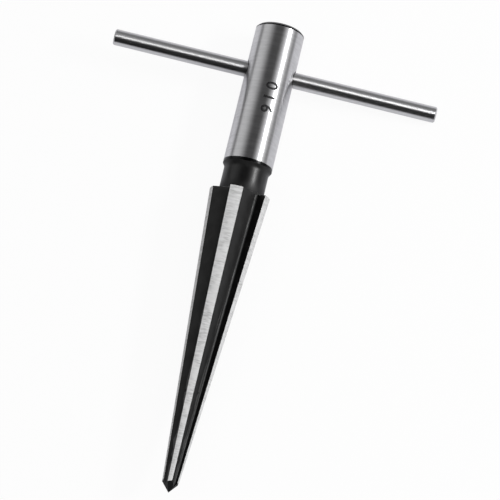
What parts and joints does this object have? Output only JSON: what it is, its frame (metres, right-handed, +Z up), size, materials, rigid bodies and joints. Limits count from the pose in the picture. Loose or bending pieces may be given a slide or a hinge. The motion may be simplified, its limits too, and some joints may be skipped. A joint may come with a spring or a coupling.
{
  "type": "t-handle taper reamer",
  "caption": "T-handle taper reamer: straight-fluted tapered steel cutter on a round head with a plain cross bar, lying as it rests.",
  "frame": {"origin": "centre of the bounding box in plan, on the surface that the tool lies on", "axes": "+Z up; +Y along the tool from the point to the head, the axis dipping 1.5 deg towards the head; +X towards the longer side of the handle"},
  "size_m": [0.0846, 0.1232, 0.0154],
  "materials": {
    "oxide_and_ground_steel": "black oxide in the flutes, neck, point and chamfers; head and lands ground bright",
    "bright_rod": "bright drawn rod, ground"
  },
  "bodies": {
    "root": {"reamer_body": "oxide_and_ground_steel", "t_bar": "bright_rod"}
  },
  "joints": []
}
